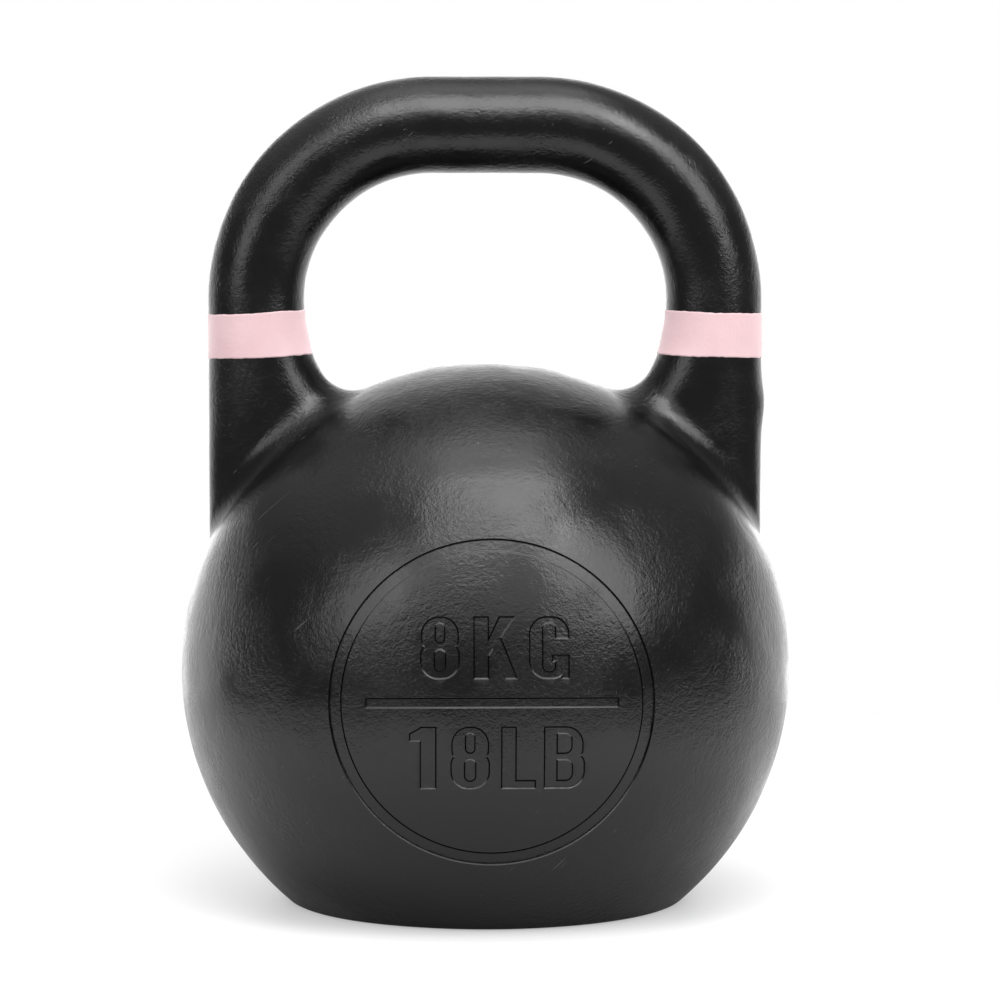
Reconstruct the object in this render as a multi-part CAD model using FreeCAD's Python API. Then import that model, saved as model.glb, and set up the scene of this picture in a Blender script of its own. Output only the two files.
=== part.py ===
import FreeCAD, Part
import math
import os

from FreeCAD import Rotation, Vector

# A hollow cast kettlebell of the competition pattern, in millimetres. +Z is up, the weight mark faces -Y,
# +X is the right-hand side seen from the front, and the origin is the middle of the flat foot.

# Ball casting. Bells of this pattern share one outside size, and the hollow sets the weight.
ball_radius = 104.5
ball_height = 80.0  # centre of the ball above the foot
foot_rounding = 4.0
foot_inner_radius = 52.0  # the foot is a ring, and the middle of the base is relieved
relief_depth = 1.5
wall = 4.8
cavity_radius = ball_radius - wall
cavity_floor = 9.0

# Opening in the base, left by the core and closed by the plug.
plug_hole_radius = 25.0
plug_seat_radius = 31.5
plug_seat_depth = 5.0  # below the relieved face
boss_radius = 36.0
boss_top = 17.0

# Flat round seats where the horns stand on the ball. The normal leans out from the ball's centre.
seat_lean = 46.2  # degrees above the horizontal
seat_distance = 95.4  # from the ball's centre
seat_pad_distance = 88.0  # inner face of the thick pad under each seat

# Handle: a round bar bent into a loop.
bar_radius = 16.5
bar_height = 265.9
bend_radius = 60.0  # of the bar's centre line
straight_half = 18.3
leg_x = straight_half + bend_radius
bend_bottom = bar_height - bend_radius

# Horns: the legs widen inwards on an arc, then run straight into the ball with a rounded valley.
flare_top = 203.0
flare_radius = 43.6
flare_arc_drop = 24.0
horn_bottom = 118.0  # hidden inside the ball's round
valley_radius = 12.2
joint_height = 194.0  # handle and horns meet here, under the colour bands

# Colour bands: a skin of paint round each leg.
band_middle = 194.7
band_width = 15.3
band_thickness = 0.25
band_tilt_left = 2.7  # degrees, inner side higher
band_tilt_right = 2.0

# Base plug and its washer.
plug_flange_radius = 31.0
plug_flange_bottom = 2.0
plug_flange_top = 5.5
plug_top = 20.0
plug_key_flats = 17.0
plug_key_depth = 8.0
seal_inner_radius = 25.5
seal_outer_radius = 30.5

# Trim stack on top of the plug, inside the hollow.
trim_disc_radius = 22.0
trim_disc_thickness = 4.0
trim_disc_count = 3
trim_bore_radius = 5.3
spring_washer_radius = 9.0
spring_washer_thickness = 2.2
spring_washer_gap = 1.6
screw_radius = 5.0
screw_head_radius = 8.0
screw_head_height = 10.0
screw_end = 13.0
screw_key_flats = 8.0
screw_key_depth = 5.0

# Weight mark, sunk into the front of the ball by a cutter whose axis leans up from the front.
mark_depth = 0.7
mark_lean = 6.7  # degrees above the horizontal
mark_drop = 11.9  # middle of the mark below the ball's centre, square to the cutter's axis
ring_outer_radius = 52.8
ring_inner_radius = 48.9
rule_length = 81.6
rule_width = 2.9
letter_height = 19.8
row_offset = 7.8  # from the middle of the mark to each row of letters
stem = 4.6  # width of upright strokes
beam = 2.5  # height of level strokes
round_corner = 5.5  # outer corners of the round letters
waist_corner = 3.2  # corners where the two halves of 8 and B meet
upper_row_starts = (-23.1, -6.0, 11.9)  # left ends of 8, K and G
lower_row_starts = (-26.7, -13.4, 2.9, 16.7)  # left ends of 1, 8, L and B
one_width = 8.4
eight_width = 12.3
k_width = 13.8
g_width = 12.7
l_width = 10.9
b_width = 13.0

ball_centre = Vector(0, 0, ball_height)
reach = 300.0  # longer than the whole kettlebell


def disc(radius, bottom, top):
    """An upright cylinder on the Z axis."""
    return Part.makeCylinder(radius, top - bottom, Vector(0, 0, bottom))


def hexagon(flats, bottom, top):
    """An upright hexagonal prism on the Z axis, with two corners on the X axis."""
    corner = flats / math.sqrt(3)
    turns = [math.radians(60 * i) for i in range(7)]
    points = [Vector(corner * math.cos(t), corner * math.sin(t), bottom) for t in turns]
    return Part.Face(Part.makePolygon(points)).extrude(Vector(0, 0, top - bottom))


def beyond(direction, distance):
    """Everything further than distance from the ball's centre along direction."""
    return Part.makeCylinder(reach, reach, ball_centre + direction * distance, direction)


def seat_direction():
    """Normal of the right-hand seat."""
    lean = math.radians(seat_lean)
    return Vector(math.cos(lean), 0, math.sin(lean))


def mirrored(shape):
    """The same shape on the other side."""
    return shape.mirror(Vector(0, 0, 0), Vector(1, 0, 0))


# Leg sections, shared by the horns, the handle and the bands.


def flare(z):
    """How far a leg's inner side stands in from the plain bar at height z."""
    drop = flare_top - z
    if drop <= 0:
        return 0.0
    arc_drop = min(drop, flare_arc_drop)
    arc_run = math.sqrt(flare_radius**2 - arc_drop**2)
    return flare_radius - arc_run + (drop - arc_drop) * arc_drop / arc_run


def leg_section(z, grow):
    """The right-hand leg's elliptical outline at height z. Its outer edge stays upright."""
    half_long = bar_radius + flare(z) / 2
    middle = Vector(leg_x - flare(z) / 2, 0, z)
    count = 48
    turns = [2 * math.pi * i / count for i in range(count)]
    points = [
        middle + Vector((half_long + grow) * math.cos(t), (bar_radius + grow) * math.sin(t), 0)
        for t in turns
    ]
    outline = Part.BSplineCurve()
    outline.interpolate(Points=points, PeriodicFlag=True)
    return Part.Wire([outline.toShape()])


def leg(bottom, top, grow=0.0):
    """The right-hand leg from bottom to top, with sections closer together where it curves."""
    steps = [flare_top - drop for drop in (3, 6, 9, 13, 17, 21, 25, 33, 43, 53, 63, 73)]
    between = [z for z in steps if bottom + 1 < z < top - 1]
    heights = [top, *between, bottom]
    return Part.makeLoft([leg_section(z, grow) for z in heights], True, False)


# Weight mark. Its shapes are prisms drawn on the front plane, u to the right and v up, and each letter is
# drawn in millimetres from its lower left corner.


def prism(face):
    """Carries a face drawn in front of the ball back into it."""
    return face.extrude(Vector(0, ball_radius / 2, 0))


def front_point(u, v):
    return Vector(u, -ball_radius - 1, ball_height + v)


def outline(points):
    """A prism with straight sides through (u, v) points."""
    corners = [front_point(u, v) for u, v in points]
    return prism(Part.Face(Part.makePolygon([*corners, corners[0]])))


def block(left, bottom, right, top):
    return outline([(left, bottom), (right, bottom), (right, top), (left, top)])


def rounded(left, bottom, right, top, low_corner, high_corner):
    """A block with its two lower and its two upper corners rounded."""
    shape = block(left, bottom, right, top)
    middle = ball_height + (bottom + top) / 2
    for corner, is_low in ((low_corner, True), (high_corner, False)):
        depth_edges = [e for e in shape.Edges if e.BoundBox.YLength > 1]
        shape = shape.makeFillet(corner, [e for e in depth_edges if (e.CenterOfMass.z < middle) == is_low])
    return shape


def letter_one(left, base):
    right = left + one_width
    top = base + letter_height
    shaft_left = right - stem - 0.4
    flag_bottom = top - 4.4
    flag = [(left, flag_bottom), (left, top - 2.1), (left + 3.9, top), (right, top), (right, flag_bottom)]
    return block(shaft_left, base, right, top - 1).fuse(outline(flag))


def letter_eight(left, base):
    right = left + eight_width
    middle = left + eight_width / 2
    top = base + letter_height
    waist = base + 10.1
    lobes = rounded(left, base, right, waist + 1, round_corner, waist_corner)
    lobes = lobes.fuse(rounded(left + 0.3, waist - 1, right - 0.3, top, waist_corner, round_corner))
    lower = rounded(middle - 1.8, base + 2.4, middle + 1.8, waist - 0.7, 1.7, 1.7)
    upper = rounded(middle - 1.5, waist + 1.4, middle + 1.5, top - 1.9, 1.4, 1.4)
    return lobes.cut([lower, upper])


def letter_k(left, base):
    right = left + k_width
    top = base + letter_height
    inner = left + stem
    arm = [(inner, base + 7.4), (inner, base + 12.4), (left + 8.1, top), (left + 13, top)]
    foot = [(left + 5.9, base + 9.3), (left + 8.5, base + 13.2), (right, base), (left + 10.1, base)]
    return block(left, base, inner, top).fuse([outline(arm), outline(foot)])


def letter_g(left, base):
    right = left + g_width
    top = base + letter_height
    inner_left, inner_right = left + 4.2, left + 8.4
    mouth_bottom, mouth_top = base + 7.5, base + 12.9
    body = rounded(left, base, right, top, round_corner, round_corner)
    counter = rounded(inner_left, base + beam - 0.4, inner_right, top - 1.9, 1.9, 1.9)
    mouth = block(inner_right - 1, mouth_bottom, right + 1, mouth_top)
    tongue = block(inner_right - 1, mouth_bottom - 2, right, mouth_bottom)
    spur = block(right - 2.3, base, right, mouth_bottom)
    return body.cut([counter, mouth]).fuse([tongue, spur])


def letter_l(left, base):
    upright = block(left, base, left + stem, base + letter_height)
    return upright.fuse(block(left, base, left + l_width, base + beam))


def letter_b(left, base):
    right = left + b_width
    top = base + letter_height
    waist = base + 10.2
    inner = left + stem - 0.5
    lobes = rounded(left - 3, base, right, waist + 0.9, round_corner, waist_corner)
    lobes = lobes.fuse(rounded(left - 3, waist - 0.9, right - 0.5, top, waist_corner, round_corner))
    lower = rounded(inner - 2, base + beam, right - 3.9, waist - 1, 2.2, 2.2)
    upper = rounded(inner - 2, waist + 1.1, right - 4.1, top - 2.1, 2.2, 2.2)
    beyond_stem = block(left - 4, base - 1, left, top + 1)
    return lobes.cut([lower, upper]).fuse(block(left, base, inner, top)).cut(beyond_stem)


def upper_row():
    """8 KG."""
    letters = (letter_eight, letter_k, letter_g)
    return [draw(start, row_offset) for draw, start in zip(letters, upper_row_starts)]


def lower_row():
    """18 LB."""
    letters = (letter_one, letter_eight, letter_l, letter_b)
    return [draw(start, -row_offset - letter_height) for draw, start in zip(letters, lower_row_starts)]


def mark_ring():
    start = front_point(0, 0)
    outer = Part.makeCylinder(ring_outer_radius, ball_radius / 2, start, Vector(0, 1, 0))
    return outer.cut(Part.makeCylinder(ring_inner_radius, ball_radius / 2, start, Vector(0, 1, 0)))


def weight_mark():
    """The sunk mark as cutting solids, with floors that follow the ball."""
    shapes = [mark_ring(), block(-rule_length / 2, -rule_width / 2, rule_length / 2, rule_width / 2)]
    shapes += upper_row() + lower_row()
    core = Part.makeSphere(ball_radius - mark_depth, ball_centre)
    cutters = []
    for shape in shapes:
        cutter = shape.removeSplitter()
        cutter.translate(Vector(0, 0, -mark_drop))
        cutter.rotate(ball_centre, Vector(1, 0, 0), -mark_lean)
        cutters.append(cutter.cut(core))
    return cutters


# Ball.


def ball_outside():
    """The whole ball with its flat foot and rounded foot edge."""
    above_foot = Part.makeBox(reach, reach, reach, Vector(-reach / 2, -reach / 2, 0))
    ball = Part.makeSphere(ball_radius, ball_centre).common(above_foot)
    rim = [e for e in ball.Edges if e.BoundBox.ZMax < 1 and e.BoundBox.XLength > ball_radius]
    return ball.makeFillet(foot_rounding, rim)


def ball_cavity():
    """The hollow, with a flat floor, the boss round the plug hole and a pad under each seat."""
    above_floor = Part.makeBox(reach, reach, reach, Vector(-reach / 2, -reach / 2, cavity_floor))
    hollow = Part.makeSphere(cavity_radius, ball_centre).common(above_floor)
    pad = beyond(seat_direction(), seat_pad_distance)
    return hollow.cut([disc(boss_radius, cavity_floor, boss_top), pad, mirrored(pad)])


def ball_shell():
    shell = ball_outside().cut(ball_cavity())
    relief = disc(foot_inner_radius, 0, relief_depth)
    seat = disc(plug_seat_radius, 0, relief_depth + plug_seat_depth)
    hole = disc(plug_hole_radius, 0, boss_top)
    cap = beyond(seat_direction(), seat_distance)
    shell = shell.cut([relief, seat, hole, cap, mirrored(cap)])
    return shell.cut(weight_mark())


# Horns and handle.


def right_horn():
    """A flared leg and its valley, above the seat and below the joint with the handle."""
    joined = Part.makeSphere(ball_radius, ball_centre).fuse(leg(horn_bottom, flare_top))
    right_side = [e for e in joined.Edges if e.BoundBox.XMin > bar_radius]
    root = [e for e in right_side if e.BoundBox.ZMin > horn_bottom + 2 and e.BoundBox.ZMax < joint_height]
    joined = joined.makeFillet(valley_radius, root)
    above = beyond(seat_direction(), seat_distance)
    below = Part.makeBox(reach, reach, joint_height, Vector(-reach / 2, -reach / 2, 0))
    return joined.common(above).common(below)


def handle_bend():
    """A quarter turn of the bar over the right-hand leg."""
    start = Vector(leg_x, 0, bend_bottom)
    section = Part.Face(Part.Wire([Part.Circle(start, Vector(0, 0, 1), bar_radius).toShape()]))
    return section.revolve(Vector(straight_half, 0, bend_bottom), Vector(0, -1, 0), 90)


def handle():
    half_bar = Part.makeCylinder(bar_radius, straight_half, Vector(0, 0, bar_height), Vector(1, 0, 0))
    post = Part.makeCylinder(bar_radius, bend_bottom - flare_top, Vector(leg_x, 0, flare_top))
    half = half_bar.fuse([handle_bend(), post, leg(joint_height, flare_top)], 1e-3)
    return half.fuse(mirrored(half), 1e-3).removeSplitter()


# Colour bands.


def right_band(tilt):
    """A thin sleeve of paint on the right-hand leg, its inner side higher by the tilt."""
    bottom = band_middle - band_width
    top = band_middle + band_width
    sleeve = leg(bottom, top, band_thickness).cut(leg(bottom, top))
    slab = Part.makeBox(reach, reach, band_width, Vector(-reach / 2, -reach / 2, -band_width / 2))
    slab.Placement = FreeCAD.Placement(
        Vector(leg_x, 0, band_middle), Rotation(Vector(0, 1, 0), tilt)
    ).multiply(slab.Placement)
    return sleeve.common(slab)


# Base plug and trim stack.


def base_plug():
    plug = disc(plug_flange_radius, plug_flange_bottom, plug_flange_top)
    plug = plug.fuse(disc(plug_hole_radius, plug_flange_top, plug_top))
    key = hexagon(plug_key_flats, plug_flange_bottom, plug_flange_bottom + plug_key_depth)
    return plug.cut([key, disc(screw_radius, screw_end, plug_top)])


def plug_seal():
    bottom = plug_flange_top
    top = relief_depth + plug_seat_depth
    return disc(seal_outer_radius, bottom, top).cut(disc(seal_inner_radius, bottom, top))


def stack_top():
    return plug_top + trim_disc_count * trim_disc_thickness


def trim_discs():
    """Flat steel discs lying on each other, each a solid of its own."""
    discs = []
    for i in range(trim_disc_count):
        bottom = plug_top + i * trim_disc_thickness
        top = bottom + trim_disc_thickness
        discs.append(disc(trim_disc_radius, bottom, top).cut(disc(trim_bore_radius, bottom, top)))
    return Part.makeCompound(discs)


def trim_washer():
    """A split spring washer under the screw's head."""
    bottom = stack_top()
    top = bottom + spring_washer_thickness
    ring = disc(spring_washer_radius, bottom, top).cut(disc(trim_bore_radius, bottom, top))
    corner = Vector(0, -spring_washer_gap / 2, bottom)
    split = Part.makeBox(spring_washer_radius, spring_washer_gap, spring_washer_thickness, corner)
    return ring.cut(split)


def trim_screw():
    """A socket-head screw from the top of the stack down into the plug."""
    head_bottom = stack_top() + spring_washer_thickness
    head_top = head_bottom + screw_head_height
    screw = disc(screw_head_radius, head_bottom, head_top).fuse(disc(screw_radius, screw_end, head_bottom))
    return screw.cut(hexagon(screw_key_flats, head_top - screw_key_depth, head_top))


def build():
    horn = right_horn()
    return {
        "ball_shell": ball_shell(),
        "right_horn": horn,
        "left_horn": mirrored(horn),
        "handle": handle(),
        "right_colour_band": right_band(band_tilt_right),
        "left_colour_band": mirrored(right_band(band_tilt_left)),
        "base_plug": base_plug(),
        "plug_seal": plug_seal(),
        "trim_discs": trim_discs(),
        "trim_washer": trim_washer(),
        "trim_screw": trim_screw(),
    }


os.makedirs("parts", exist_ok=True)
for name, shape in build().items():
    shape.exportStep(f"parts/{name}.step")
    box = shape.BoundBox
    print(
        f"{name}: {len(shape.Solids)} solid(s), valid {shape.isValid()}, {shape.Volume / 1000:.1f} cm3, "
        f"{box.XLength:.1f} x {box.YLength:.1f} x {box.ZLength:.1f} mm, {len(shape.Faces)} faces"
    )
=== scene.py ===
import math

import bpy
import numpy as np
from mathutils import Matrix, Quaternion, Vector
from mathutils.geometry import delaunay_2d_cdt


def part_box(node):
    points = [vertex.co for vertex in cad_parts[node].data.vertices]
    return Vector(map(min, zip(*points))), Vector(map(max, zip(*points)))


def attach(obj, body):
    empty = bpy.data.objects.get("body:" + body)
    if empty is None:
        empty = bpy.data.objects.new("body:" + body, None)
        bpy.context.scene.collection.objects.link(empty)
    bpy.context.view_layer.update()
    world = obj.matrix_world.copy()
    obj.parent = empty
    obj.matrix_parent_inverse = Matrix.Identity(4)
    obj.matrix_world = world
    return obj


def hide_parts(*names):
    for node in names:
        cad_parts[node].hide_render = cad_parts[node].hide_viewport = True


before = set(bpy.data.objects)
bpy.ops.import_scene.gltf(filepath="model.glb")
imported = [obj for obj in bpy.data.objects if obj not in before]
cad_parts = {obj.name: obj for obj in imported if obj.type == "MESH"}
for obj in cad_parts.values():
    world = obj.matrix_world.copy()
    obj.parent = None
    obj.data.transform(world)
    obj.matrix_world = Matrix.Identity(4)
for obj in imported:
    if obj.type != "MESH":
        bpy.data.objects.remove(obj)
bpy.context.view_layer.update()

mm = 0.001     # shapes are worked out in millimetres and leave makePiece in metres

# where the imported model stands, in millimetres
ballLow, ballHigh = (np.array(corner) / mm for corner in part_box("ball_shell"))
handleLow, handleHigh = (np.array(corner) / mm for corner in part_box("handle"))
footMiddle = np.append((ballLow[:2] + ballHigh[:2]) / 2, ballLow[2]).round(1)
overallTop = round(handleHigh[2], 1)


def gridPatch(points, normals, closed=True):
    # quads between neighbouring rows and columns; the last column joins the first when the grid closes
    rows, columns = points.shape[:2]
    index = np.arange(rows * columns).reshape(rows, columns)
    right = np.roll(index, -1, axis=1)
    if not closed:
        index, right = index[:, :-1], right[:, :-1]
    quads = np.stack([index[:-1], right[:-1], right[1:], index[1:]], axis=-1).reshape(-1, 4)
    return points.reshape(-1, 3), quads, normals.reshape(-1, 3)


def fanPatch(loop, normal):
    # a flat disc: every point of the loop joined to the loop's middle
    count = len(loop)
    step = np.arange(count)
    points = np.vstack([loop, loop.mean(axis=0)])
    triangles = np.stack([step, (step + 1) % count, np.full(count, count)], axis=1)
    return points, triangles, np.tile(normal, (count + 1, 1))


def unit(vectors):
    return vectors / np.linalg.norm(vectors, axis=-1, keepdims=True)


def fullTurn(count):
    return np.linspace(0, 2 * math.pi, count, endpoint=False)


def roundAxis(radius, turn, z):
    # points at a radius, a turn and a height about the upright axis through the foot
    radius, turn, z = np.broadcast_arrays(radius, turn, z)
    return np.stack([radius * np.cos(turn), radius * np.sin(turn), z], axis=-1) + footMiddle


def toSide(vectors, side):
    # made for the right-hand side, and mirrored where side is -1
    return vectors * np.array([side, 1.0, 1.0])


def facingOut(points, faces, normals):
    # turns the faces of a patch the way its normals point
    a, b, c = (points[faces[:, i]] for i in range(3))
    turned = np.einsum("ij,ij->i", np.cross(b - a, c - a), normals[faces[:, 0]])
    return faces if turned.sum() > 0 else faces[:, ::-1]


def makePiece(name, patches, stands):
    # joins patches where their points coincide, and keeps each patch's own normals on its corners
    allPoints, allFaces, cornerNormals, offset = [], [], [], 0
    for points, faces, normals in patches:
        faces = facingOut(points, faces, normals)
        allPoints.append(points)
        allFaces.append(faces + offset)
        cornerNormals.append(normals[faces.reshape(-1)])
        offset += len(points)
    points = np.vstack(allPoints)
    cells = np.rint(points * 5000 + 0.137).astype(np.int64)      # a fifth of a micron wide
    _, first, back = np.unique(cells, axis=0, return_index=True, return_inverse=True)
    back = back.reshape(-1)
    corners = np.concatenate([back[f].reshape(-1) for f in allFaces])
    sizes = np.concatenate([np.full(len(f), f.shape[1]) for f in allFaces])
    starts = np.concatenate([[0], np.cumsum(sizes)[:-1]])
    mesh = bpy.data.meshes.new(name)
    mesh.vertices.add(len(first))
    mesh.vertices.foreach_set("co", (points[first] * mm).astype(np.float32).reshape(-1))
    mesh.loops.add(len(corners))
    mesh.loops.foreach_set("vertex_index", corners.astype(np.int32))
    mesh.polygons.add(len(sizes))
    mesh.polygons.foreach_set("loop_start", starts.astype(np.int32))
    mesh.polygons.foreach_set("use_smooth", np.ones(len(sizes), bool))
    mesh.update(calc_edges=True)
    mesh.validate()
    mesh.normals_split_custom_set(unit(np.vstack(cornerNormals)).tolist())
    piece = bpy.data.objects.new(name, mesh)
    bpy.context.scene.collection.objects.link(piece)
    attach(piece, "root")
    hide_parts(*stands)
    print(f"{name}: {len(first)} points, {int((sizes - 2).sum())} triangles")
    return piece


castSkin = {
    "seed": 8,
    # shortest and longest waves, the root mean square height of their sum, and how many
    "hills": ((30.0, 70.0), 0.05, 24),
    "ripples": ((8.0, 16.0), 0.008, 56),
}


def sineWaves(lengths, height, count, random):
    # sine waves of random direction, length and start
    direction = unit(random.normal(size=(count, 3)))
    length = random.uniform(*lengths, size=(count, 1))
    starts = random.uniform(0, 2 * math.pi, count)
    return direction * 2 * math.pi / length, starts, height * math.sqrt(2 / count)


def makeWaves():
    random = np.random.default_rng(castSkin["seed"])
    return [sineWaves(*castSkin[kind], random) for kind in ("hills", "ripples")]


castWaves = makeWaves()


def castHeight(points):
    # height above the true surface, and its slope as a vector, at any points in space
    height = np.zeros(points.shape[:-1])
    slope = np.zeros(points.shape)
    for waves, starts, size in castWaves:
        phase = points @ waves.T + starts
        height += size * np.sin(phase).sum(axis=-1)
        slope += size * np.cos(phase) @ waves
    return height, slope


def asCast(points, normals, sink=0.0, sinkSlope=0.0, share=1.0):
    # moves points along their normals by the cast height, less what is sunk, and tilts the normals to match
    height, slope = castHeight(points)
    height = share * height - sink
    slope = np.asarray(share)[..., None] * slope - sinkSlope
    along = np.sum(slope * normals, axis=-1, keepdims=True)
    return points + normals * height[..., None], unit(normals - slope + along * normals)


leg = {
    "barRadius": round(handleHigh[1] - handleLow[1], 1) / 2,
    "flareTop": 203.0,         # the inner side starts to widen here
    "flareRadius": 43.6,
    "flareDrop": 24.0,         # height of the arc, below which the widening runs straight
    "jointHeight": 194.0,      # handle and horns meet here
}
leg["middle"] = round(handleHigh[0] - leg["barRadius"], 1)


def flareAt(z):
    # how far the inner side stands in, an arc that runs on in its end tangent, and its slope with height
    drop = np.maximum(leg["flareTop"] - z, 0)
    arcDrop = np.minimum(drop, leg["flareDrop"])
    arcRun = np.sqrt(leg["flareRadius"] ** 2 - arcDrop ** 2)
    tangent = arcDrop / arcRun
    return leg["flareRadius"] - arcRun + (drop - arcDrop) * tangent, -tangent


def legSurface(turn, z, grow=0.0):
    # ellipses stacked in height whose outer edge, at turn 0, stays upright
    turn, z = np.broadcast_arrays(turn, z)
    flare, flareSlope = flareAt(z)
    long = leg["barRadius"] + grow + flare / 2
    short = leg["barRadius"] + grow
    points = np.stack([leg["middle"] - flare / 2 + long * np.cos(turn), short * np.sin(turn), z], axis=-1)
    across = short * np.cos(turn)
    rise = flareSlope / 2 * (np.cos(turn) - 1)
    return points, unit(np.stack([across, long * np.sin(turn), -across * rise], axis=-1))


handle = {
    "barHeight": round(overallTop - leg["barRadius"], 1),
    "straightHalf": 18.3,
    "around": 112,
    "pitch": 1.25,             # between rings along the bar
    "legRows": 10,
}
handle["bend"] = leg["middle"] - handle["straightHalf"]


def handleHalf():
    # the right half: rings up the leg, round the bend and out to the middle of the bar
    bend, straight = handle["bend"], handle["straightHalf"]
    bendBottom = handle["barHeight"] - bend
    turn = fullTurn(handle["around"])
    z = np.linspace(leg["jointHeight"], bendBottom, handle["legRows"])
    legPoints, legNormals = legSurface(turn[None, :], z[:, None])
    swing = np.linspace(0, math.pi / 2, int(bend * math.pi / 2 / handle["pitch"]))[1:, None]
    run = np.linspace(straight, 0, int(straight / handle["pitch"]))[1:, None]
    angle = np.vstack([swing, np.full(run.shape, math.pi / 2)])
    centreX = np.vstack([straight + bend * np.cos(swing), run])
    centreZ = bendBottom + bend * np.sin(angle)
    outX = np.cos(angle) * np.cos(turn)
    outZ = np.sin(angle) * np.cos(turn)
    barNormals = np.stack([outX, np.sin(turn) + 0 * angle, outZ], axis=-1)
    middle = np.stack([centreX + 0 * turn, 0 * outX, centreZ + 0 * turn], axis=-1)
    barPoints = middle + leg["barRadius"] * barNormals
    return np.vstack([legPoints, barPoints]), np.vstack([legNormals, barNormals])


def makeHandle():
    points, normals = handleHalf()
    points = np.vstack([points, toSide(points[-2::-1], -1)]) + footMiddle
    normals = np.vstack([normals, toSide(normals[-2::-1], -1)])
    points, normals = asCast(points, normals)
    down = np.array([0.0, 0.0, -1.0])
    ends = [fanPatch(points[0], down), fanPatch(points[-1], down)]
    return makePiece("handle_loop", [gridPatch(points, normals), *ends], ["handle"])


horn = {
    "valley": 12.2,            # radius of the rounded valley between horn and ball
    "around": 288,
    "legRows": 52, "valleyRows": 20, "seatRows": 9,
    "lowestContact": 112.0,    # the valley's contact with the leg is looked for above this height
    "halvings": 44, "searchTurns": 1441,
    # a swelling low on the right leg: how far it stands out, its height, and its half width and half height
    "bulge": 1.1, "bulgeAt": 171.0, "bulgeWide": 6.0, "bulgeHigh": 8.0,
}
ball = {
    "radius": 104.5,
    "centreHeight": 80.0,
    "seatLean": math.radians(46.2),
    "seatDistance": 95.4,      # from the ball's centre to each flat seat
}
ball["centre"] = footMiddle + [0, 0, ball["centreHeight"]]
ball["seatAngle"] = math.acos(ball["seatDistance"] / ball["radius"])
seatAxis = np.array([math.cos(ball["seatLean"]), 0, math.sin(ball["seatLean"])])
seatUp = np.array([-math.sin(ball["seatLean"]), 0, math.cos(ball["seatLean"])])
ballMiddle = np.array([0, 0, ball["centreHeight"]])


def hornContact(turn):
    # rolling ball: the height on the leg where a ball of the valley's radius touches leg and casting, and its
    # middle there
    valley = horn["valley"]
    low, high = np.full(turn.shape, horn["lowestContact"]), np.full(turn.shape, leg["jointHeight"])
    for _ in range(horn["halvings"]):
        z = (low + high) / 2
        points, normals = legSurface(turn, z)
        rolling = points + valley * normals
        apart = np.linalg.norm(rolling - ballMiddle, axis=-1) - ball["radius"] - valley
        high = np.where(apart > 0, z, high)
        low = np.where(apart > 0, low, z)
    return z, rolling


def seatTurn(direction):
    # the angle round the seat's axis at which a direction from the ball's centre lies
    return np.arctan2(direction @ seatUp, direction[..., 1])


def onBall(lean, turn):
    # a direction from the ball's centre, leaning from the seat's axis by lean towards turn round it
    side = np.cos(turn)[..., None] * np.array([0, 1.0, 0]) + np.sin(turn)[..., None] * seatUp
    return np.cos(lean)[..., None] * seatAxis + np.sin(lean)[..., None] * side


def slerp(a, b, t):
    # turns direction a into b at an even rate
    angle = np.arccos(np.clip(np.sum(a * b, axis=-1, keepdims=True), -1, 1))
    return (np.sin((1 - t) * angle) * a + np.sin(t * angle) * b) / np.sin(angle)


def hornSkin():
    # for each direction round the seat: down the leg, through the valley's arc, and over the ball to the seat
    dense = np.linspace(-math.pi, math.pi, horn["searchTurns"])
    lie = np.unwrap(seatTurn(unit(hornContact(dense)[1] - ballMiddle)))
    around = fullTurn(horn["around"])
    turn = np.interp((around - lie[0]) % (2 * math.pi) + lie[0], lie, dense)
    contact, rolling = hornContact(turn)
    down = np.linspace(0, 1, horn["legRows"])[:, None]
    heights = leg["jointHeight"] + (contact - leg["jointHeight"]) * down
    legPoints, legNormals = legSurface(turn[None, :], heights)
    footing = unit(rolling - ballMiddle)
    steps = np.linspace(0, 1, horn["valleyRows"])[1:, None, None]
    arc = slerp(unit(legPoints[-1] - rolling)[None], -footing[None], steps)
    lean = np.arccos(footing @ seatAxis)
    steps = np.linspace(0, 1, horn["seatRows"])[1:, None]
    leans = lean + (ball["seatAngle"] - lean) * steps
    ballNormals = onBall(leans, around[None, :] + 0 * leans)
    points = [legPoints, rolling + horn["valley"] * arc, ballMiddle + ball["radius"] * ballNormals]
    return np.vstack(points), np.vstack([legNormals, -arc, ballNormals])


hornPoints, hornNormals = hornSkin()


def bulge(points):
    # the swelling on a leg's outer edge, a bell curve in height and across, as asCast's sink and its slope
    wide, high = horn["bulgeWide"], horn["bulgeHigh"]
    y, z = points[..., 1], points[..., 2] - horn["bulgeAt"]
    height = horn["bulge"] * np.exp(-(y / wide) ** 2 - (z / high) ** 2) * (points[..., 0] > leg["middle"])
    slope = np.stack([0 * y, -2 * y / wide ** 2 * height, -2 * z / high ** 2 * height], axis=-1)
    return -height, -slope


def makeHorn(name, node, side):
    points, normals = toSide(hornPoints, side), toSide(hornNormals, side)
    swelling = bulge(points) if side > 0 else (0.0, 0.0)
    points, normals = asCast(points + footMiddle, normals, *swelling)
    top = fanPatch(points[0], np.array([0, 0, 1.0]))
    seat = fanPatch(points[-1], -toSide(seatAxis, side))
    return makePiece(name, [gridPatch(points, normals), top, seat], [node])


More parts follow.
